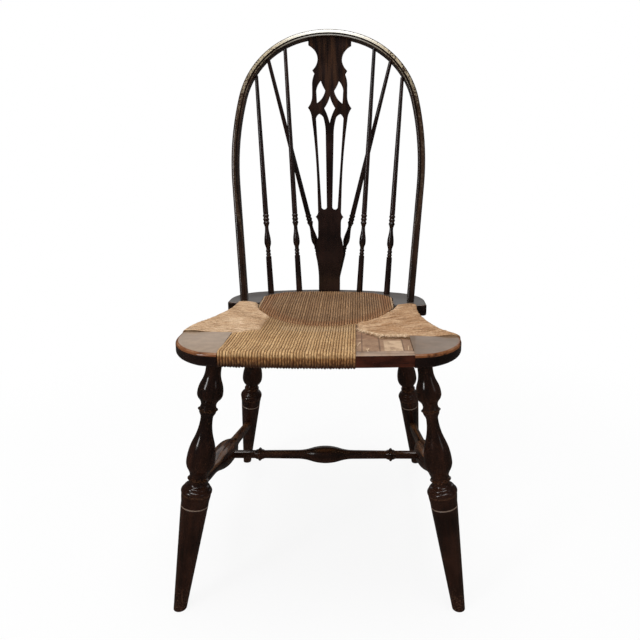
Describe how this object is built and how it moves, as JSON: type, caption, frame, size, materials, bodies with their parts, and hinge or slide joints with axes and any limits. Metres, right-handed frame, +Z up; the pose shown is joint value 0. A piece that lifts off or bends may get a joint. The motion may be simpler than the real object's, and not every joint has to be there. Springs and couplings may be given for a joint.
{
  "type": "bow-back side chair",
  "caption": "Wooden side chair with a bent bow back, pierced splat, turned spindles, two braces and a woven rush seat on splayed turned legs.",
  "frame": {"origin": "on the floor under the middle of the chair's width and length", "axes": "+X to the right as seen from the front, +Y to the back, +Z up"},
  "size_m": [0.469, 0.5025, 0.9375],
  "materials": {
    "dark_wood": "old dark stain under worn glossy varnish",
    "rail_wood": "red-brown stain, satin",
    "plain_wood": "bare, matt",
    "rush": "aged golden rush, dry and slightly shiny"
  },
  "bodies": {
    "root": {"front_rail": "rail_wood", "corner_block_left": "dark_wood", "corner_block_right": "dark_wood", "side_rail_left": "rail_wood", "side_rail_right": "rail_wood", "rear_rail": "rail_wood", "rear_block": "dark_wood", "tailpiece": "dark_wood", "seat_dowels": "plain_wood", "padding_board": "plain_wood", "rush_front": "rush", "rush_left": "rush", "rush_right": "rush", "rush_rear": "rush", "bow": "dark_wood", "splat": "dark_wood", "spindle_outer_left": "dark_wood", "spindle_outer_right": "dark_wood", "spindle_inner_left": "dark_wood", "spindle_inner_right": "dark_wood", "brace_spindle_left": "dark_wood", "brace_spindle_right": "dark_wood", "leg_front_left": "dark_wood", "leg_front_right": "dark_wood", "leg_rear_left": "dark_wood", "leg_rear_right": "dark_wood", "side_stretcher_left": "dark_wood", "side_stretcher_right": "dark_wood", "cross_stretcher": "dark_wood"}
  },
  "joints": []
}
